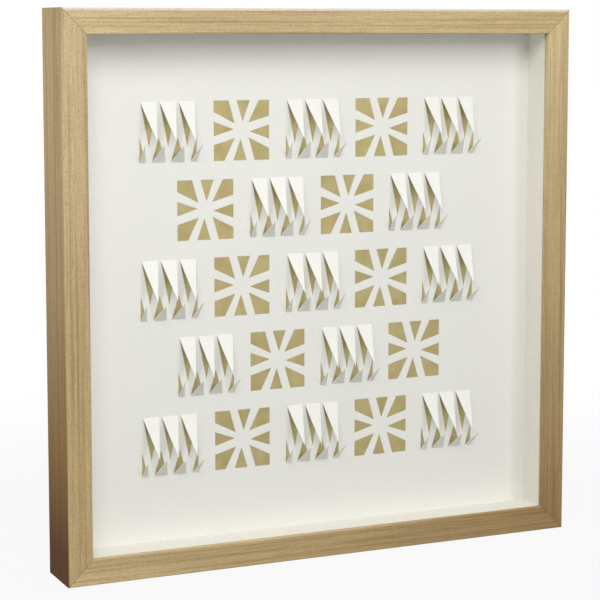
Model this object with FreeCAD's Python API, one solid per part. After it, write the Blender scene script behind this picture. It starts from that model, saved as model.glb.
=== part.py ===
import FreeCAD, Part
import math
import os

# Cut and folded paper art in a deep square frame of pale wood.
# Millimetres, +Z up. The picture faces -Y and stands on its lower rail.
# The origin is on the floor, under the middle of the overall box.

# Frame rails
FRAME_SIZE = 508.0  # outside, both ways
FRAME_DEPTH = 56.0  # front face to rear face
RAIL_FACE = 23.0  # rail's width seen from the front
RAIL_WALL = 16.0  # rail's thickness behind the lip
LIP_DEPTH = 5.5  # lip that the pane lies against
ARRIS = 0.6  # eased long edges

# Layers behind the lip, from front to back
LAYER_GAP = 0.5  # from a layer's edge to the rail
PANE_THICK = 2.0
SPACER_DEPTH = 30.5  # keeps the pane off the folded paper
SPACER_SETBACK = 0.5  # spacer's inner face behind the lip's edge
SHEET_THICK = 0.5
CARD_THICK = 1.5
BOARD_THICK = 3.0

# Motifs in the sheet
TILE_SIZE = 55.0  # side of one motif
TILE_PITCH = 71.7  # between motifs in a row, and between rows
ROWS = ("FWFWF", "WFWF", "FWFWF", "FWFW", "FWFWF")  # F has flaps and W has windows
LONG_FLAPS = 3
LONG_FLAP_WIDTH = 15.9
LONG_FLAP_LENGTH = 41.0
LONG_FLAP_LIFT = 30.0  # degrees out of the sheet
SHORT_FLAP_WIDTH = 13.0
SHORT_FLAP_LENGTH = 23.0
SHORT_FLAP_LIFT = 45.0
SIDE_FLAP_WIDTH = 6.0  # half flaps at the motif's two sides
# Window outlines in half motifs from its middle. Three turns of 90 degrees give the rest.
CORNER_WINDOW = ((0.24, 0.25), (1.0, 0.47), (1.0, 1.0), (0.62, 1.0))
SIDE_WINDOW = ((0.28, -0.04), (1.0, -0.30), (1.0, 0.18))

# Corner nails, driven from the rear across each mitre
CORNER_NAIL_INSET = 5.0  # from the rail's outer faces
CORNER_NAIL_LEG = 7.0
CORNER_NAIL_THICK = 0.6
CORNER_NAIL_DEPTH = 10.0

# Points that hold the layers in
POINTS_PER_RAIL = 3
POINT_SPACING = 140.0
POINT_WIDTH = 10.0
POINT_REACH = 8.0  # over the backing board
POINT_BITE = 6.0  # into the rail
POINT_THICK = 0.8

# Toothed hangers on the upper rail, and their nails
HANGER_OFFSET = 150.0  # from the middle
HANGER_LENGTH = 45.0
HANGER_HEIGHT = 10.0
HANGER_THICK = 1.0
HANGER_FOOT = 8.0  # flat end that is nailed down
HANGER_RISE = 1.5  # room behind the teeth
HANGER_RAMP = 2.0
TOOTH_PITCH = 2.2
TOOTH_DEPTH = 1.6
TOOTH_COUNT = 9
NAIL_RADIUS = 0.8
NAIL_LENGTH = 12.0
NAIL_HEAD_RADIUS = 2.2
NAIL_HEAD_THICK = 0.8
NAIL_HOLE_GAP = 0.1  # round the shank, in the hanger

# Bumpers on the lower rail
BUMPER_RADIUS = 6.0
BUMPER_HEIGHT = 3.0
BUMPER_INSET = 30.0  # from the frame's side

# Places that follow from the sizes
half = FRAME_SIZE / 2
overall_depth = FRAME_DEPTH + max(BUMPER_HEIGHT, HANGER_RISE + HANGER_THICK)
front = -overall_depth / 2
rear = front + FRAME_DEPTH
layer_half = half - RAIL_WALL - LAYER_GAP
sight_half = half - RAIL_FACE
pane_front = front + LIP_DEPTH
spacer_front = pane_front + PANE_THICK
sheet_front = spacer_front + SPACER_DEPTH
card_front = sheet_front + SHEET_THICK
board_front = card_front + CARD_THICK
point_front = board_front + BOARD_THICK
motif_half = TILE_SIZE / 2
up = FreeCAD.Vector(0, 0, 1)
backwards = FreeCAD.Vector(0, 1, 0)
middle = FreeCAD.Vector(0, 0, half)  # on the axis that the four sides are turned about


def face(points):
    """A flat face from its corners in order."""
    return Part.Face(Part.makePolygon(points + points[:1]))


def front_plate(outline, y, thick):
    """A plate with an outline of (x, z) corners, from y backwards."""
    corners = [FreeCAD.Vector(x, y, z) for x, z in outline]
    return face(corners).extrude(backwards * thick)


def slab(x_half, z_low, z_high, y, thick):
    """A rectangular plate about x = 0, from y backwards."""
    corner = FreeCAD.Vector(-x_half, y, z_low)
    return Part.makeBox(2 * x_half, thick, z_high - z_low, corner)


def turned(shape, quarters):
    """A copy turned about the frame's middle by quarter turns."""
    copy = shape.copy()
    copy.rotate(middle, backwards, 90.0 * quarters)
    return copy


def group(solids):
    return Part.makeCompound(solids)


def lower_rail():
    """The lower rail: its section carried between two mitred ends."""
    section = [
        (ARRIS, 0.0),
        (RAIL_FACE - ARRIS, 0.0),
        (RAIL_FACE, ARRIS),
        (RAIL_FACE, LIP_DEPTH),
        (RAIL_WALL, LIP_DEPTH),
        (RAIL_WALL, FRAME_DEPTH),
        (ARRIS, FRAME_DEPTH),
        (0.0, FRAME_DEPTH - ARRIS),
        (0.0, ARRIS),
    ]
    left = [FreeCAD.Vector(inward - half, front + depth, inward) for inward, depth in section]
    right = [FreeCAD.Vector(half - inward, front + depth, inward) for inward, depth in section]
    faces = [face(left), face(right)]
    for i in range(len(section)):
        j = (i + 1) % len(section)
        faces.append(face([left[i], left[j], right[j], right[i]]))
    solid = Part.Solid(Part.Shell(faces))
    if solid.Volume < 0:
        solid.reverse()
    return solid


def corner_nail():
    """The nail of the lower left corner, a bent strip whose legs lie in two rails."""
    near = CORNER_NAIL_INSET
    inner = near + CORNER_NAIL_THICK
    far = near + CORNER_NAIL_LEG
    outline = [(near, near), (far, near), (far, inner), (inner, inner), (inner, far), (near, far)]
    placed = [(inward - half, height) for inward, height in outline]
    return front_plate(placed, rear - CORNER_NAIL_DEPTH, CORNER_NAIL_DEPTH)


def rail_points():
    """The points of the lower rail, behind the backing board."""
    solids = []
    for i in range(POINTS_PER_RAIL):
        x = (i - (POINTS_PER_RAIL - 1) / 2) * POINT_SPACING
        shoulder = RAIL_WALL - POINT_BITE / 2
        outline = [
            (x - POINT_WIDTH / 2, RAIL_WALL + POINT_REACH),
            (x + POINT_WIDTH / 2, RAIL_WALL + POINT_REACH),
            (x + POINT_WIDTH / 2, shoulder),
            (x, RAIL_WALL - POINT_BITE),
            (x - POINT_WIDTH / 2, shoulder),
        ]
        solids.append(front_plate(outline, point_front, POINT_THICK))
    return solids


def nail_places():
    """Where the nails go through the hangers' feet."""
    reach = (HANGER_LENGTH - HANGER_FOOT) / 2
    height = FRAME_SIZE - RAIL_WALL / 2
    return [
        FreeCAD.Vector(side * HANGER_OFFSET + end * reach, rear, height)
        for side in (-1, 1)
        for end in (-1, 1)
    ]


def hanger(side):
    """A bridge of sheet metal with teeth along its lower edge."""
    low = FRAME_SIZE - (RAIL_WALL + HANGER_HEIGHT) / 2
    end = HANGER_LENGTH / 2
    foot = end - HANGER_FOOT
    top = foot - HANGER_RAMP
    half_profile = [
        (end, 0.0),
        (end, HANGER_THICK),
        (foot, HANGER_THICK),
        (top, HANGER_THICK + HANGER_RISE),
    ]
    inner_profile = [(top, HANGER_RISE), (foot, 0.0)]
    outer = half_profile + [(-x, y) for x, y in reversed(half_profile)]
    inner = [(-x, y) for x, y in reversed(inner_profile)] + inner_profile
    profile = outer + inner
    middle_x = side * HANGER_OFFSET
    corners = [FreeCAD.Vector(middle_x + x, rear + y, low) for x, y in profile]
    solid = face(corners).extrude(up * HANGER_HEIGHT)
    notches = []
    for i in range(TOOTH_COUNT):
        x = middle_x + (i - (TOOTH_COUNT - 1) / 2) * TOOTH_PITCH
        notch = [(x - TOOTH_PITCH / 2, low), (x + TOOTH_PITCH / 2, low), (x, low + TOOTH_DEPTH)]
        notches.append(front_plate(notch, rear, HANGER_RISE + HANGER_THICK))
    holes = [
        Part.makeCylinder(NAIL_RADIUS + NAIL_HOLE_GAP, HANGER_THICK, place, backwards)
        for place in nail_places()
    ]
    return solid.cut(notches + holes)


def nail(place):
    """A round nail whose head lies on the hanger's foot."""
    head_seat = place + backwards * HANGER_THICK
    shank_start = head_seat - backwards * NAIL_LENGTH
    shank = Part.makeCylinder(NAIL_RADIUS, NAIL_LENGTH, shank_start, backwards)
    head = Part.makeCylinder(NAIL_HEAD_RADIUS, NAIL_HEAD_THICK, head_seat, backwards)
    return shank.fuse(head).removeSplitter()


def bumper(side):
    place = FreeCAD.Vector(side * (half - BUMPER_INSET), rear, RAIL_WALL / 2)
    return Part.makeCylinder(BUMPER_RADIUS, BUMPER_HEIGHT, place, backwards)


def layer(y, thick):
    """A square layer that lies in the rails' rabbet."""
    return slab(layer_half, half - layer_half, half + layer_half, y, thick)


def spacers():
    """Long strips at top and bottom, with shorter ones between them at the sides."""
    inner_half = sight_half + SPACER_SETBACK
    wall = layer_half - inner_half
    long_strip = slab(layer_half, half - layer_half, half - inner_half, spacer_front, SPACER_DEPTH)
    corner = FreeCAD.Vector(-layer_half, spacer_front, half - inner_half)
    short_strip = Part.makeBox(wall, SPACER_DEPTH, 2 * inner_half, corner)
    return {
        "spacer_bottom": long_strip,
        "spacer_top": turned(long_strip, 2),
        "spacer_left": short_strip,
        "spacer_right": turned(short_strip, 2),
    }


def flap_outlines():
    """Each flap of a motif: the two ends of its hinge, its tip and its lift."""
    flaps = []
    step = TILE_SIZE / LONG_FLAPS
    for i in range(LONG_FLAPS):
        x = (i - (LONG_FLAPS - 1) / 2) * step
        ends = (x - LONG_FLAP_WIDTH / 2, x + LONG_FLAP_WIDTH / 2)
        flaps.append((ends, motif_half, (x, motif_half - LONG_FLAP_LENGTH), LONG_FLAP_LIFT))
    short_tip = SHORT_FLAP_LENGTH - motif_half
    for i in range(LONG_FLAPS - 1):
        x = (i - (LONG_FLAPS - 2) / 2) * step
        ends = (x - SHORT_FLAP_WIDTH / 2, x + SHORT_FLAP_WIDTH / 2)
        flaps.append((ends, -motif_half, (x, short_tip), SHORT_FLAP_LIFT))
    for side in (-1, 1):
        edge = side * motif_half
        ends = tuple(sorted((edge, edge - side * SIDE_FLAP_WIDTH)))
        flaps.append((ends, -motif_half, (edge, short_tip), SHORT_FLAP_LIFT))
    return flaps


def flap(ends, hinge, tip, lift):
    """A triangular flap about the motif's middle, turned outwards at its hinge."""
    turn = math.radians(lift)
    way = math.copysign(1.0, tip[1] - hinge)
    length = abs(tip[1] - hinge)
    corners = [
        FreeCAD.Vector(ends[0], 0, hinge),
        FreeCAD.Vector(ends[1], 0, hinge),
        FreeCAD.Vector(tip[0], -length * math.sin(turn), hinge + way * length * math.cos(turn)),
    ]
    inwards = FreeCAD.Vector(0, math.cos(turn), way * math.sin(turn)) * SHEET_THICK
    blade = face(corners).extrude(inwards)
    crease_depth = SHEET_THICK * math.tan(turn / 2)
    crease = face([
        FreeCAD.Vector(ends[0], 0, hinge),
        FreeCAD.Vector(ends[0], SHEET_THICK, hinge),
        FreeCAD.Vector(ends[0], SHEET_THICK, hinge + way * crease_depth),
        FreeCAD.Vector(ends[0], inwards.y, hinge + inwards.z),
    ]).extrude(FreeCAD.Vector(ends[1] - ends[0], 0, 0))
    return blade.fuse(crease)


def window_outlines():
    """The windows of a motif, as corners about its middle."""
    outlines = []
    for outline in (CORNER_WINDOW, SIDE_WINDOW):
        corners = [(x * motif_half, z * motif_half) for x, z in outline]
        for _ in range(4):
            outlines.append(corners)
            corners = [(-z, x) for x, z in corners]
    return outlines


def motif_places():
    """The kind and middle of each motif, row by row from the top."""
    places = []
    for row, kinds in enumerate(ROWS):
        z = half + ((len(ROWS) - 1) / 2 - row) * TILE_PITCH
        for column, kind in enumerate(kinds):
            x = (column - (len(kinds) - 1) / 2) * TILE_PITCH
            places.append((kind, x, z))
    return places


def paper_sheet():
    """One sheet with cut windows and with flaps that are still joined at their hinges."""
    low = half - layer_half
    high = half + layer_half
    edge = [(-layer_half, low), (layer_half, low), (layer_half, high), (-layer_half, high)]
    outlines = [edge]
    motif_flaps = [flap(*outline) for outline in flap_outlines()]
    flap_holes = [
        [(ends[0], hinge), (ends[1], hinge), tip] for ends, hinge, tip, lift in flap_outlines()
    ]
    placed_flaps = []
    for kind, x, z in motif_places():
        holes = flap_holes if kind == "F" else window_outlines()
        outlines += [[(x + dx, z + dz) for dx, dz in hole] for hole in holes]
        if kind == "F":
            placed_flaps += [
                shape.translated(FreeCAD.Vector(x, sheet_front, z)) for shape in motif_flaps
            ]
    wires = []
    for outline in outlines:
        corners = [FreeCAD.Vector(x, sheet_front, z) for x, z in outline]
        wires.append(Part.makePolygon(corners + corners[:1]))
    sheet = Part.Face(wires, "Part::FaceMakerBullseye").extrude(backwards * SHEET_THICK)
    return sheet.fuse(placed_flaps).removeSplitter()


def parts():
    """Every node by name."""
    corner_nails = [turned(corner_nail(), i) for i in range(4)]
    points = [turned(point, i) for i in range(4) for point in rail_points()]
    nails = [nail(place) for place in nail_places()]
    driven = corner_nails + points + nails
    nodes = {}
    for i, name in enumerate(("rail_bottom", "rail_left", "rail_top", "rail_right")):
        nodes[name] = turned(lower_rail(), i).cut(driven)
    nodes["glazing_pane"] = layer(pane_front, PANE_THICK)
    nodes.update(spacers())
    nodes["paper_sheet"] = paper_sheet()
    nodes["gold_card"] = layer(card_front, CARD_THICK)
    nodes["backing_board"] = layer(board_front, BOARD_THICK)
    nodes["corner_nails"] = group(corner_nails)
    nodes["framing_points"] = group(points)
    nodes["hanger_left"] = hanger(-1)
    nodes["hanger_right"] = hanger(1)
    nodes["hanger_nails"] = group(nails)
    nodes["bumper_left"] = bumper(-1)
    nodes["bumper_right"] = bumper(1)
    return nodes


os.makedirs("parts", exist_ok=True)
for node, shape in parts().items():
    shape.exportStep(f"parts/{node}.step")
    print(node, len(shape.Solids), "solid", shape.isValid(), round(shape.Volume, 1), "mm3")
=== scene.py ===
import math

import bmesh
import bpy
import numpy as np
from mathutils import Matrix, Vector
from mathutils.geometry import delaunay_2d_cdt


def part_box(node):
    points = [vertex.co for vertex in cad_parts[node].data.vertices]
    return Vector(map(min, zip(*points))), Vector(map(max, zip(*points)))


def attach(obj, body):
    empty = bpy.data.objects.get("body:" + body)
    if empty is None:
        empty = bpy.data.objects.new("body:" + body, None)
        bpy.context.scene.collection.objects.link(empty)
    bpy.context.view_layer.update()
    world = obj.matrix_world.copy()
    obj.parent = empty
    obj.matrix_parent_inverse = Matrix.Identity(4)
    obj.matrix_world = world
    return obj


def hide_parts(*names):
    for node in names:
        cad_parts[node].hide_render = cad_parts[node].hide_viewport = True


mm = 0.001
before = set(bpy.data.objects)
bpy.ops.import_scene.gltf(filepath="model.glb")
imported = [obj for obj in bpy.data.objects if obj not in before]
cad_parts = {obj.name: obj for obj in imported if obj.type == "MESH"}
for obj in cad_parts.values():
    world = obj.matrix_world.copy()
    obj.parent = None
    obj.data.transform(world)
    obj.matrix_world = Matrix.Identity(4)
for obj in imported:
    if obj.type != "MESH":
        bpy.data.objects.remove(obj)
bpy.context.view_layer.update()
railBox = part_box("rail_left")
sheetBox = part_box("paper_sheet")
frameHalf = railBox[1][2] / 2  # the frame is square and stands on the floor
frontY = railBox[0][1]


def linear(hexColour):
    # sRGB hex to linear: the standard curve, with its straight foot
    channels = [int(hexColour[i:i + 2], 16) / 255 for i in (1, 3, 5)]
    return [c / 12.92 if c <= 0.04045 else ((c + 0.055) / 1.055) ** 2.4 for c in channels] + [1.0]


def addNode(material, kind, settings=None, inputs=None):
    # one node with its settings, and its inputs as values or as sockets to link
    tree = material.node_tree
    node = tree.nodes.new(kind)
    for key, value in (settings or {}).items():
        setattr(node, key, value)
    for key, value in (inputs or {}).items():
        if isinstance(value, bpy.types.NodeSocket):
            tree.links.new(value, node.inputs[key])
        else:
            node.inputs[key].default_value = value
    return node


def newMaterial(name):
    material = bpy.data.materials.new(name)
    material.use_nodes = True
    material.node_tree.nodes.clear()
    return material


def finishMaterial(material, shaderSocket):
    output = addNode(material, "ShaderNodeOutputMaterial")
    material.node_tree.links.new(shaderSocket, output.inputs["Surface"])
    return material


def mathNode(material, operation, first, second=0.0):
    return addNode(material, "ShaderNodeMath", {"operation": operation}, {0: first, 1: second}).outputs[0]


def stretchedNoise(material, coordinates, sizes, detail=3.0, roughness=0.55):
    # noise whose grains measure sizes, in metres along x, y and z
    scaled = {"Vector": coordinates, "Scale": [1 / size for size in sizes]}
    mapping = addNode(material, "ShaderNodeMapping", None, scaled)
    settings = {"Vector": mapping.outputs["Vector"], "Scale": 1.0, "Detail": detail, "Roughness": roughness}
    return addNode(material, "ShaderNodeTexNoise", None, settings).outputs["Fac"]


def colourRamp(material, factor, stops):
    ramp = addNode(material, "ShaderNodeValToRGB", None, {"Fac": factor})
    elements = ramp.color_ramp.elements
    while len(elements) < len(stops):
        elements.new(0.5)
    for element, (position, colour) in zip(elements, stops):
        element.position = position
        element.color = linear(colour)
    return ramp.outputs["Color"]


def mixColours(material, blend, factor, first, second):
    settings = {"data_type": "RGBA", "blend_type": blend}
    node = addNode(material, "ShaderNodeMix", settings, {0: factor, 6: first, 7: second})
    return node.outputs[2]


def bumpOf(material, height, distance, strength=1.0):
    values = {"Height": height, "Distance": distance, "Strength": strength}
    return addNode(material, "ShaderNodeBump", None, values).outputs["Normal"]


def objectPosition(material):
    return addNode(material, "ShaderNodeTexCoord").outputs["Object"]


def rangeMap(material, value, source, target, interpolation="LINEAR"):
    # a ramp from the source range to the target range, held at both ends
    inputs = {"Value": value, "From Min": source[0], "From Max": source[1]}
    inputs.update({"To Min": target[0], "To Max": target[1]})
    settings = {"interpolation_type": interpolation}
    return addNode(material, "ShaderNodeMapRange", settings, inputs).outputs["Result"]


noiseSpan = (0.3, 0.7)  # most values of a noise lie between these


def twoTones(material, noise, low, high):
    # a colour that follows the noise from the low tone to the high one
    return colourRamp(material, noise, [(noiseSpan[0], low), (noiseSpan[1], high)])


# how far each pattern of the wood reaches across and along the board, and how rough its noise is
grains = {
    "ring": {"width": 2.4 * mm, "length": 260 * mm, "detail": 3.0, "roughness": 0.6},
    "fibre": {"width": 0.55 * mm, "length": 22 * mm, "detail": 2.0, "roughness": 0.6},
    "fleck": {"width": 0.7 * mm, "length": 1.5 * mm, "detail": 1.0, "roughness": 0.5},
    "drift": {"width": 45 * mm, "length": 170 * mm, "detail": 1.0, "roughness": 0.4},
    # the real pores are about 0.15 mm wide and wouldn't show
    "pore": {"width": 0.42 * mm, "length": 2.6 * mm, "detail": 1.0, "roughness": 0.4},
}


ash = {
    "early": "#DCC698",  # pale wood between the rings
    "late": "#BDA473",  # darker ring
    "pore": "#7E6540",
    "seam": "#7C6238",  # glue line along the outer side
    "joint": "#4A3720",  # mitre
    "ringStops": (0.30, 0.52),  # where the ring noise is all late and all early wood
    "seedShift": (1.0, 0.7, 1.3),  # so that no two boards are cut from the same place in the noise
    "fibreShade": (0.8, 1.06),
    "fleckShade": (0.88, 1.14),
    "driftShade": (0.92, 1.04),
    "poreSpan": (0.38, 0.28),  # low values of the noise are pores
    "poreShare": 0.5,
    "poreSink": 1.5,  # depth of a pore against that of the fibres
    # a painted highlight along the front outer edge: how far it reaches, and how strong it is
    "highlightReach": (1.6 * mm, 2.8 * mm),
    "highlightStrength": 0.85,
    "sideReach": (0.1 * mm, 0.5 * mm),
    "sideLightGain": (1.35, 1.27, 1.26, 1.0),  # painted light: the outer side is painted brighter
    "seamDepth": 22 * mm,  # behind the front face
    "seamReach": (0.3 * mm, 0.9 * mm),
    "seamShare": 0.6,
    "jointReach": (0.11 * mm, 0.39 * mm),
    "jointShare": 0.75,
    "roughness": (0.72, 0.54),
    "specular": 0.12,
    "relief": 0.06 * mm,
    "reliefStrength": 0.6,
}


def ashGrain(material, position, along, seed):
    # rings, fibres, flecks, a slow drift and open pores, all drawn out along the board
    offset = {0: position, 1: [seed * factor for factor in ash["seedShift"]]}
    moved = addNode(material, "ShaderNodeVectorMath", {"operation": "ADD"}, offset).outputs["Vector"]

    def grain(kind):
        pattern = grains[kind]
        sizes = [pattern["length"] if axis == along else pattern["width"] for axis in "xyz"]
        return stretchedNoise(material, moved, sizes, pattern["detail"], pattern["roughness"])

    late, early = ash["ringStops"]
    colour = colourRamp(material, grain("ring"), [(late, ash["late"]), (early, ash["early"])])
    fibres = grain("fibre")
    flecks = grain("fleck")
    drift = grain("drift")
    for noise, shade in ((fibres, "fibreShade"), (flecks, "fleckShade"), (drift, "driftShade")):
        level = rangeMap(material, noise, noiseSpan, ash[shade])
        colour = mixColours(material, "MULTIPLY", 1.0, colour, level)
    pores = rangeMap(material, grain("pore"), ash["poreSpan"], (0.0, ash["poreShare"]))
    return colour, fibres, pores


def paintedEdgeHighlight(material, colour, reach, edgeHighlight):
    # painted highlight: the front outer edge is painted paler, as if lit from above
    highlightMask = rangeMap(material, reach, ash["highlightReach"], (ash["highlightStrength"], 0.0))
    return mixColours(material, "MIX", highlightMask, colour, linear(edgeHighlight))


def outerSide(material, colour, inwards, depth, share, sideShades):
    # painted shade and light: the outer side is painted darker towards its low end and brighter overall,
    # and a thin glue line runs along it
    outer = rangeMap(material, inwards, ash["sideReach"], (1.0, 0.0))
    shadedSideAndSeam = mixColours(material, "MULTIPLY", 1.0, colour, colourRamp(material, share, sideShades))
    shadedSideAndSeam = mixColours(material, "MULTIPLY", 1.0, shadedSideAndSeam, ash["sideLightGain"])
    fromSeam = mathNode(material, "ABSOLUTE", mathNode(material, "SUBTRACT", depth, ash["seamDepth"]))
    seam = rangeMap(material, fromSeam, ash["seamReach"], (ash["seamShare"], 0.0))
    shadedSideAndSeam = mixColours(material, "MULTIPLY", seam, shadedSideAndSeam, linear(ash["seam"]))
    return mixColours(material, "MIX", outer, colour, shadedSideAndSeam)


def ashWood(name, along, seed, shadeAtStart, shadeAtEnd, edgeHighlight=None, sideShades=None):
    # Pale ash, planed and sealed with a matt lacquer: straight rings with open pores along each rail.
    # Painted shade: the board's colour is painted darker or lighter from its low end to its high end,
    # following how light falls on the frame.
    material = newMaterial(name)
    position = objectPosition(material)
    colour, fibres, pores = ashGrain(material, position, along, seed)
    parts = addNode(material, "ShaderNodeSeparateXYZ", None, {"Vector": position}).outputs
    start = -frameHalf if along == "x" else 0.0
    share = rangeMap(material, parts[along.upper()], (start, start + 2 * frameHalf), (0.0, 1.0))
    paintedShade = mixColours(material, "MIX", share, linear(shadeAtStart), linear(shadeAtEnd))
    colour = mixColours(material, "MULTIPLY", 1.0, colour, paintedShade)
    # distances from the frame's middle across and up, inwards from its outer edge, and behind its front
    sideways = mathNode(material, "ABSOLUTE", parts["X"])
    upright = mathNode(material, "ABSOLUTE", mathNode(material, "SUBTRACT", parts["Z"], frameHalf))
    inwards = mathNode(material, "SUBTRACT", frameHalf, mathNode(material, "MAXIMUM", sideways, upright))
    depth = mathNode(material, "SUBTRACT", parts["Y"], frontY)
    if edgeHighlight:
        colour = paintedEdgeHighlight(material, colour, mathNode(material, "MAXIMUM", inwards, depth), edgeHighlight)
    if sideShades:
        colour = outerSide(material, colour, inwards, depth, share, sideShades)
    colour = mixColours(material, "MIX", pores, colour, linear(ash["pore"]))
    # the glued mitre shows as a thin dark line, where the distances across and up are equal
    fromJoint = mathNode(material, "ABSOLUTE", mathNode(material, "SUBTRACT", sideways, upright))
    joint = rangeMap(material, fromJoint, ash["jointReach"], (ash["jointShare"], 0.0))
    colour = mixColours(material, "MIX", joint, colour, linear(ash["joint"]))
    relief = mathNode(material, "SUBTRACT", fibres, mathNode(material, "MULTIPLY", pores, ash["poreSink"]))
    shader = addNode(material, "ShaderNodeBsdfPrincipled", None, {
        "Base Color": colour,
        "Roughness": rangeMap(material, fibres, (0.0, 1.0), ash["roughness"]),
        "Specular IOR Level": ash["specular"],
        "Normal": bumpOf(material, relief, ash["relief"], ash["reliefStrength"]),
    })
    return finishMaterial(material, shader.outputs["BSDF"])


def dress(node, material):
    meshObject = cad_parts[node]
    meshObject.data.materials.clear()
    meshObject.data.materials.append(material)


# painted shade for the left or lower end, then for the right or upper end; the frame is painted darker
# towards its low right corner
rails = {
    "top": {
        "along": "x",
        "seed": 0.31,
        "shadeAtStart": "#FBFBFC",
        "shadeAtEnd": "#F2EEE9",
        # a painted highlight along its front top edge
        "edgeHighlight": "#E9E0D1",
    },
    "bottom": {"along": "x", "seed": 1.47, "shadeAtStart": "#FDFAF7", "shadeAtEnd": "#C5B7A6"},
    "left": {
        "along": "z",
        "seed": 2.53,
        "shadeAtStart": "#EBE2D9",
        "shadeAtEnd": "#F8F8FA",
        # share of the height, and the painted shade there
        "sideShades": [(0.055, "#72531A"), (0.25, "#C5B898"), (0.5, "#F2EFEE"), (0.75, "#FFFFFF")],
    },
    "right": {"along": "z", "seed": 3.89, "shadeAtStart": "#C0B0A0", "shadeAtEnd": "#FFFFFF"},
}
for side, board in rails.items():
    dress("rail_" + side, ashWood("ash" + side.capitalize(), **board))


stock = {"mottleFibres": 6, "specular": 0.25, "reliefStrength": 0.7}  # the same for board and paper


def paperStock(name, colour, tint, fibre, roughness, relief):
    # Uncoated paper or board, pressed and matt: a fine fibre mottle and no gloss.
    material = newMaterial(name)
    position = objectPosition(material)
    mottle = stretchedNoise(material, position, [fibre * stock["mottleFibres"]] * 3, roughness=0.6)
    fibres = stretchedNoise(material, position, [fibre] * 3, roughness=0.7)
    shader = addNode(material, "ShaderNodeBsdfPrincipled", None, {
        "Base Color": twoTones(material, mottle, tint, colour),
        "Roughness": roughness,
        "Specular IOR Level": stock["specular"],
        "Normal": bumpOf(material, fibres, relief, stock["reliefStrength"]),
    })
    return finishMaterial(material, shader.outputs["BSDF"])


spacer = {"colour": "#EFECE4", "tint": "#EAE7DD", "fibre": 0.7 * mm, "roughness": 0.85, "relief": 0.03 * mm}
spacerBoard = paperStock("spacerBoard", **spacer)
for side in ("top", "bottom", "left", "right"):
    dress("spacer_" + side, spacerBoard)

gold = {
    "tint": "#A79863",
    "colour": "#B5A776",
    "cloudSize": 14 * mm,
    "grainSize": 0.5 * mm,
    "metallic": 0.45,  # between foil and ink
    "roughness": (0.38, 0.56),
    "relief": 0.02 * mm,
    "reliefStrength": 0.5,
}


def goldCard():
    # Card faced with dull gold foil, calendered: warm, low sheen, faint cloudiness.
    material = newMaterial("goldFoilCard")
    position = objectPosition(material)
    clouds = stretchedNoise(material, position, [gold["cloudSize"]] * 3, detail=2.0, roughness=0.5)
    grain = stretchedNoise(material, position, [gold["grainSize"]] * 3, detail=2.0, roughness=0.7)
    shader = addNode(material, "ShaderNodeBsdfPrincipled", None, {
        "Base Color": twoTones(material, clouds, gold["tint"], gold["colour"]),
        "Metallic": gold["metallic"],
        "Roughness": rangeMap(material, grain, (0.0, 1.0), gold["roughness"]),
        "Normal": bumpOf(material, grain, gold["relief"], gold["reliefStrength"]),
    })
    return finishMaterial(material, shader.outputs["BSDF"])


dress("gold_card", goldCard())

pane = {"index": 1.12, "roughness": 0.03}  # a low index stands for the anti-reflection coating


def clearPane():
    # Thin anti-reflection picture glass: nearly all light goes straight through.
    material = newMaterial("pictureGlass")
    fresnel = addNode(material, "ShaderNodeFresnel", None, {"IOR": pane["index"]}).outputs["Fac"]
    through = addNode(material, "ShaderNodeBsdfTransparent", None, {"Color": linear("#FFFFFF")})
    shine = {"Color": linear("#FFFFFF"), "Roughness": pane["roughness"]}
    gloss = addNode(material, "ShaderNodeBsdfGlossy", None, shine)
    shares = {0: fresnel, 1: through.outputs["BSDF"], 2: gloss.outputs["BSDF"]}
    mixed = addNode(material, "ShaderNodeMixShader", None, shares)
    return finishMaterial(material, mixed.outputs["Shader"])


dress("glazing_pane", clearPane())

backing = {
    "tones": ((0.32, "#5C4028"), (0.5, "#80603E"), (0.7, "#A08058")),  # dark, middle and pale fibres
    "fleckSizes": (1.1 * mm, 1.1 * mm, 1.6 * mm),
    "cloudSize": 30 * mm,
    "cloudShade": (0.88, 1.08),
    "roughness": 0.55,
    "relief": 0.05 * mm,
    "reliefStrength": 0.5,
}


def hardboard():
    # Pressed wood-fibre board, smooth side out: brown with dark and light fibre flecks.
    material = newMaterial("hardboard")
    position = objectPosition(material)
    flecks = stretchedNoise(material, position, backing["fleckSizes"], detail=4.0, roughness=0.75)
    clouds = stretchedNoise(material, position, [backing["cloudSize"]] * 3, detail=2.0, roughness=0.5)
    colour = colourRamp(material, flecks, backing["tones"])
    shade = rangeMap(material, clouds, (0.0, 1.0), backing["cloudShade"])
    shader = addNode(material, "ShaderNodeBsdfPrincipled", None, {
        "Base Color": mixColours(material, "MULTIPLY", 1.0, colour, shade),
        "Roughness": backing["roughness"],
        "Normal": bumpOf(material, flecks, backing["relief"], backing["reliefStrength"]),
    })
    return finishMaterial(material, shader.outputs["BSDF"])


dress("backing_board", hardboard())

steel = {
    "spotSize": 2.5 * mm,
    "lineLength": 12 * mm,
    "roughnessSpread": (-0.1, 0.12),
    "relief": 0.02 * mm,
    "reliefStrength": 0.4,
}


def sheetSteel(name, colour, brushWidth, roughness):
    # Cold-rolled steel strip, zinc plated: fine rolling lines and small dull spots.
    material = newMaterial(name)
    position = objectPosition(material)
    lineSizes = [steel["lineLength"], brushWidth, brushWidth]
    lines = stretchedNoise(material, position, lineSizes, detail=2.0, roughness=0.6)
    spots = stretchedNoise(material, position, [steel["spotSize"]] * 3, roughness=0.6)
    dullness = [roughness + change for change in steel["roughnessSpread"]]
    shader = addNode(material, "ShaderNodeBsdfPrincipled", None, {
        "Base Color": linear(colour),
        "Metallic": 1.0,
        "Roughness": rangeMap(material, spots, (0.0, 1.0), dullness),
        "Normal": bumpOf(material, lines, steel["relief"], steel["reliefStrength"]),
    })
    return finishMaterial(material, shader.outputs["BSDF"])


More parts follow.
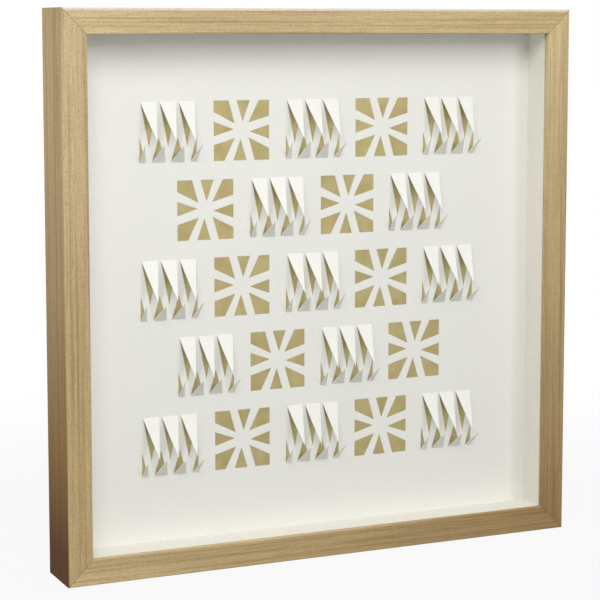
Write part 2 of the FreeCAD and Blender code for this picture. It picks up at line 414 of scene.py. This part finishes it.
dress("corner_nails", sheetSteel("cornerNailSteel", "#8F9092", 0.3 * mm, 0.4))
dress("framing_points", sheetSteel("pointSteel", "#A5A6A6", 0.3 * mm, 0.36))
platedSteel = sheetSteel("platedSteel", "#C9BD9B", 0.25 * mm, 0.3)
for node in ("hanger_left", "hanger_right", "hanger_nails"):
    dress(node, platedSteel)

bumper = {
    "tint": "#BDBDB6",
    "colour": "#CBCBC5",
    "cloudSize": 1.5 * mm,
    "roughness": 0.4,
    "lightShare": 0.2,  # how much light goes in, and how far
    "lightDepth": 1.5 * mm,
    "relief": 0.03 * mm,
    "reliefStrength": 0.4,
}


def bumperRubber():
    # Cast polyurethane bumper: soft grey-white, satin, slightly cloudy.
    material = newMaterial("bumperPolyurethane")
    position = objectPosition(material)
    clouds = stretchedNoise(material, position, [bumper["cloudSize"]] * 3, detail=2.0, roughness=0.5)
    shader = addNode(material, "ShaderNodeBsdfPrincipled", None, {
        "Base Color": twoTones(material, clouds, bumper["tint"], bumper["colour"]),
        "Roughness": bumper["roughness"],
        "Subsurface Weight": bumper["lightShare"],
        "Subsurface Scale": bumper["lightDepth"],
        "Normal": bumpOf(material, clouds, bumper["relief"], bumper["reliefStrength"]),
    })
    return finishMaterial(material, shader.outputs["BSDF"])


rubber = bumperRubber()
dress("bumper_left", rubber)
dress("bumper_right", rubber)
print("materials on", len(bpy.data.materials))

sheet = {
    "thick": 0.5 * mm,
    "motif": 55 * mm,
    "pitch": 71.7 * mm,
    "rows": ("FWFWF", "WFWF", "FWFWF", "FWFW", "FWFWF"),  # F has flaps and W has windows
    "longFlaps": 3,
    "longWidth": 15.9 * mm,
    "longLength": 41 * mm,
    "longLift": 29,  # degrees out of the sheet, at the hinge
    "shortWidth": 13 * mm,
    "sideWidth": 6 * mm,
    "shortLength": 23 * mm,
    "shortLift": 43,
    "liftSpread": 2.5,  # hand folding isn't even
    "curl": 5,  # degrees that a flap bends outwards along its length
    "curlSpread": 4,
    "hingeSteps": 4,
    "lengthSteps": 7,
    "cornerWindow": ((0.24, 0.25), (1.0, 0.47), (1.0, 1.0), (0.62, 1.0)),  # in half motifs
    "sideWindow": ((0.28, -0.04), (1.0, -0.30), (1.0, 0.18)),
    "joinReach": 1e-7,  # outline points closer than this are one
    "leastArea": 1e-12,  # smaller triangles are left out
    "weldReach": 1e-6,  # flaps join the sheet at points closer than this
    "sharpAngle": 15,  # degrees between faces that meet in a crease
    "seed": 7,
}
paper = {"colour": "#F1F1EC", "tint": "#ECECE6", "fibre": 0.35 * mm, "roughness": 0.9, "relief": 0.02 * mm}


def motifPlaces():
    # the kind and middle of each motif: staggered rows at one pitch
    for row, kinds in enumerate(sheet["rows"]):
        height = frameHalf + ((len(sheet["rows"]) - 1) / 2 - row) * sheet["pitch"]
        for column, kind in enumerate(kinds):
            yield kind, np.array([(column - (len(kinds) - 1) / 2) * sheet["pitch"], height])


def flapTable():
    # each flap of a motif: its hinge's ends, its tip and its lift, in x and z about the motif's middle
    half = sheet["motif"] / 2
    step = sheet["motif"] / sheet["longFlaps"]
    flaps = []
    for i in range(sheet["longFlaps"]):
        x = (i - (sheet["longFlaps"] - 1) / 2) * step
        ends = ((x - sheet["longWidth"] / 2, half), (x + sheet["longWidth"] / 2, half))
        flaps.append((*ends, (x, half - sheet["longLength"]), sheet["longLift"]))
    for i in range(sheet["longFlaps"] - 1):
        x = (i - (sheet["longFlaps"] - 2) / 2) * step
        ends = ((x - sheet["shortWidth"] / 2, -half), (x + sheet["shortWidth"] / 2, -half))
        flaps.append((*ends, (x, sheet["shortLength"] - half), sheet["shortLift"]))
    for side in (-1, 1):
        ends = sorted(((side * half, -half), (side * (half - sheet["sideWidth"]), -half)))
        flaps.append((*ends, (side * half, sheet["shortLength"] - half), sheet["shortLift"]))
    return flaps


def windowTable():
    # the windows of a motif: two outlines, each turned three times by 90 degrees
    outlines = []
    for outline in (sheet["cornerWindow"], sheet["sideWindow"]):
        corners = np.array(outline) * sheet["motif"] / 2
        for _ in range(4):
            outlines.append(corners)
            corners = np.stack([-corners[:, 1], corners[:, 0]], axis=1)
    return outlines


def flapSurface(left, right, tip, lift, curl):
    # s runs from the hinge to the tip, and t across. The sides close in straight to the tip, and from
    # the hinge the flap follows an arc whose angle to the sheet is lift + curl * s.
    s = np.linspace(0, 1, sheet["lengthSteps"] + 1)
    t = np.linspace(0, 1, sheet["hingeSteps"] + 1)
    length = tip[1] - left[1]
    angle = np.radians(lift + curl * (s[1:] + s[:-1]) / 2)
    step = abs(length) / sheet["lengthSteps"]
    out = np.concatenate([[0], np.cumsum(np.sin(angle) * step)])
    rise = np.concatenate([[0], np.cumsum(np.cos(angle) * step)]) * np.sign(length)
    base = left[0] + (right[0] - left[0]) * t
    x = base[None, :] * (1 - s[:, None]) + tip[0] * s[:, None]
    y = np.repeat(-out[:, None], len(t), axis=1)
    z = np.repeat(left[1] + rise[:, None], len(t), axis=1)
    grid = np.stack([x, y, z], axis=2).reshape(-1, 3)
    index = np.arange(len(s) * len(t)).reshape(len(s), len(t))
    corners = [index[:-1, :-1], index[:-1, 1:], index[1:, 1:], index[1:, :-1]]
    quads = np.stack(corners, axis=2).reshape(-1, 4)
    faces = np.concatenate([quads[:, [0, 1, 2]], quads[:, [0, 2, 3]]])
    return grid, faces


def cutPlane(holes):
    # the flat sheet as triangles between its edge and the holes' outlines
    low, high = sheetBox
    edge = np.array([(low[0], low[2]), (high[0], low[2]), (high[0], high[2]), (low[0], high[2])])
    outlines = [edge] + holes
    points = np.concatenate(outlines)
    links = []
    start = 0
    for outline in outlines:
        count = len(outline)
        links += [(start + i, start + (i + 1) % count) for i in range(count)]
        start += count
    found = delaunay_2d_cdt([Vector(p) for p in points], links, [], 0, sheet["joinReach"])
    flat = np.array([tuple(p) for p in found[0]])
    faces = np.array(found[2])
    middles = flat[faces].mean(axis=1)
    # a triangle is paper unless its middle lies on the same side of all edges of a hole
    solid = np.ones(len(faces), bool)
    for hole in holes:
        ahead = np.roll(hole, -1, axis=0) - hole
        away = middles[:, None, :] - hole[None, :, :]
        turn = ahead[None, :, 0] * away[:, :, 1] - ahead[None, :, 1] * away[:, :, 0]
        solid &= ~((turn > 0).all(axis=1) | (turn < 0).all(axis=1))
    return flat, faces[solid]


def sheetSurface():
    # the cut plane and every flap as triangles, with the flaps' lift and curl drawn at random
    front = sheetBox[1][1] - sheet["thick"]
    random = np.random.default_rng(sheet["seed"])
    share = np.linspace(0, 1, sheet["hingeSteps"] + 1)[:, None]
    holes = []
    vertices = []
    triangles = []
    count = 0
    for kind, middle in motifPlaces():
        if kind == "W":
            holes += [outline + middle for outline in windowTable()]
            continue
        for left, right, tip, lift in flapTable():
            hinge = np.array(left) + (np.array(right) - np.array(left)) * share
            holes.append(np.concatenate([hinge, [tip]]) + middle)
            lift = lift + random.uniform(-1, 1) * sheet["liftSpread"]
            curl = sheet["curl"] + random.uniform(-1, 1) * sheet["curlSpread"]
            grid, faces = flapSurface(left, right, tip, lift, curl)
            vertices.append(grid + (middle[0], front, middle[1]))
            triangles.append(faces + count)
            count += len(grid)
    flat, faces = cutPlane(holes)
    vertices.append(np.stack([flat[:, 0], np.full(len(flat), front), flat[:, 1]], axis=1))
    triangles.append(faces + count)
    vertices = np.concatenate(vertices)
    triangles = np.concatenate(triangles)
    corner = vertices[triangles]
    across = np.cross(corner[:, 1] - corner[:, 0], corner[:, 2] - corner[:, 0])
    real = np.linalg.norm(across, axis=1) / 2 > sheet["leastArea"]  # a flap's tip has empty triangles
    triangles = triangles[real]
    backward = across[real][:, 1] > 0
    triangles[backward] = triangles[backward][:, ::-1]  # every face looks forwards
    return vertices, triangles


def foldedSheet(material):
    # One surface whose flaps are joined to it at their hinges, then given the paper's thickness.
    vertices, triangles = sheetSurface()
    mesh = bpy.data.meshes.new("foldedSheet")
    mesh.from_pydata(vertices.tolist(), [], triangles.tolist())
    work = bmesh.new()
    work.from_mesh(mesh)
    bmesh.ops.remove_doubles(work, verts=work.verts, dist=sheet["weldReach"])
    work.to_mesh(mesh)
    work.free()
    piece = bpy.data.objects.new("foldedSheet", mesh)
    bpy.context.collection.objects.link(piece)
    wall = piece.modifiers.new("thickness", "SOLIDIFY")
    wall.thickness = sheet["thick"]
    wall.offset = -1  # all of the thickness lies behind the surface
    settled = piece.evaluated_get(bpy.context.evaluated_depsgraph_get())
    solid = bpy.data.meshes.new_from_object(settled)
    piece.modifiers.clear()
    piece.data = solid
    solid.shade_smooth()
    solid.set_sharp_from_angle(angle=math.radians(sheet["sharpAngle"]))
    solid.materials.append(material)
    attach(piece, "root")
    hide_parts("paper_sheet")
    print("folded sheet", len(solid.polygons), "faces")


foldedSheet(paperStock("cottonPaper", **paper))

# places and sizes in metres
studio = {
    "floorSize": 6.0,
    "floorColour": "#90908E",
    "floorTint": "#949492",
    "cloudSize": 0.4,
    "nearWhite": 0.93,  # share of plain white that a camera sees beside the object
    "farWhite": 1.0,
    "nearReach": 0.35,  # distance from the object's middle
    "farReach": 0.95,
    "ambient": 0.475,
    "keyPlace": (-0.62, -1.35, 1.45),
    "frontTarget": (-0.05, 0.0, 0.3),
    "keySize": (1.1, 0.8),
    "keyWatts": 18.6,
    "fillPlace": (0.95, -2.5, 1.2),
    "fillSize": (0.7, 0.4),
    "fillWatts": 13.5,
    "backPlace": (0.45, 2.0, 1.35),
    "backTarget": (0.0, 0.0, 0.25),
    "backSize": (1.2, 0.8),
    "backWatts": 12.0,
}


def directRays(material):
    # 1 for the camera's rays, reflections and rays through glass, and 0 for diffuse light
    seen = addNode(material, "ShaderNodeLightPath").outputs
    direct = mathNode(material, "MAXIMUM", seen["Is Camera Ray"], seen["Is Glossy Ray"])
    return mathNode(material, "MAXIMUM", direct, seen["Is Transmission Ray"])


def floorMaterial():
    # Matt paper studio sweep. The camera and reflections see it nearly white, so a faint shadow is left.
    material = newMaterial("studioSweep")
    position = objectPosition(material)
    clouds = stretchedNoise(material, position, [studio["cloudSize"]] * 3, detail=1.0, roughness=0.5)
    colours = twoTones(material, clouds, studio["floorColour"], studio["floorTint"])
    matt = addNode(material, "ShaderNodeBsdfDiffuse", None, {"Color": colours})
    glow = addNode(material, "ShaderNodeEmission", None, {"Color": (1, 1, 1, 1), "Strength": 1.0})
    length = addNode(material, "ShaderNodeVectorMath", {"operation": "LENGTH"}, {0: position})
    reach = (studio["nearReach"], studio["farReach"])
    whites = (studio["nearWhite"], studio["farWhite"])
    white = rangeMap(material, length.outputs["Value"], reach, whites, "SMOOTHSTEP")
    share = mathNode(material, "MULTIPLY", directRays(material), white)
    shares = {0: share, 1: matt.outputs["BSDF"], 2: glow.outputs["Emission"]}
    mixed = addNode(material, "ShaderNodeMixShader", None, shares)
    return finishMaterial(material, mixed.outputs["Shader"])


def flatFloor():
    # a square in the plane z = 0
    reach = studio["floorSize"] / 2
    mesh = bpy.data.meshes.new("floor")
    corners = [(-reach, -reach, 0), (reach, -reach, 0), (reach, reach, 0), (-reach, reach, 0)]
    mesh.from_pydata(corners, [], [(0, 1, 2, 3)])
    floor = bpy.data.objects.new("floor", mesh)
    mesh.materials.append(floorMaterial())
    bpy.context.collection.objects.link(floor)


def softBox(name, place, target, size, watts):
    lamp = bpy.data.lights.new(name, "AREA")
    lamp.shape = "RECTANGLE"
    lamp.size, lamp.size_y = size
    lamp.energy = watts
    lampObject = bpy.data.objects.new(name, lamp)
    lampObject.location = place
    lampObject.rotation_euler = (Vector(target) - Vector(place)).to_track_quat("-Z", "Y").to_euler()
    bpy.context.collection.objects.link(lampObject)


def whiteWorld():
    # the camera and reflections see plain white, and diffuse light from the world is a softer grey
    world = bpy.data.worlds.new("studioWorld")
    world.use_nodes = True
    world.node_tree.nodes.clear()
    strength = rangeMap(world, directRays(world), (0.0, 1.0), (studio["ambient"], 1.0))
    background = addNode(world, "ShaderNodeBackground", None, {"Color": (1, 1, 1, 1), "Strength": strength})
    output = addNode(world, "ShaderNodeOutputWorld")
    world.node_tree.links.new(background.outputs["Background"], output.inputs["Surface"])
    bpy.context.scene.world = world


flatFloor()
softBox("keyLamp", studio["keyPlace"], studio["frontTarget"], studio["keySize"], studio["keyWatts"])
softBox("fillLamp", studio["fillPlace"], studio["frontTarget"], studio["fillSize"], studio["fillWatts"])
softBox("backLamp", studio["backPlace"], studio["backTarget"], studio["backSize"], studio["backWatts"])
whiteWorld()
print("studio ready")

view = {
    "fromFront": (-753.5 * mm, -1589.8 * mm, 489.7 * mm),  # from the middle of the front face's lower edge
    "yaw": 24.46,  # degrees to the right
    "pitch": -6.25,
    "focal": 115.7,  # millimetres, as the sensor's width
    "sensor": 36,
    "shiftY": -0.1,
    "clipStart": 0.05,
}


def placeCamera():
    camera = bpy.data.cameras.new("camera")
    camera.lens = view["focal"]
    camera.sensor_width = view["sensor"]
    camera.shift_y = view["shiftY"]
    camera.clip_start = view["clipStart"]
    cameraObject = bpy.data.objects.new("camera", camera)
    cameraObject.location = Vector(view["fromFront"]) + Vector((0, frontY, 0))
    yaw = math.radians(view["yaw"])
    pitch = math.radians(view["pitch"])
    turn = Matrix.Rotation(-yaw, 4, "Z") @ Matrix.Rotation(math.pi / 2 + pitch, 4, "X")
    cameraObject.rotation_euler = turn.to_euler()
    bpy.context.collection.objects.link(cameraObject)
    bpy.context.scene.camera = cameraObject


placeCamera()
bpy.context.scene.view_settings.view_transform = "Standard"
print("camera placed")
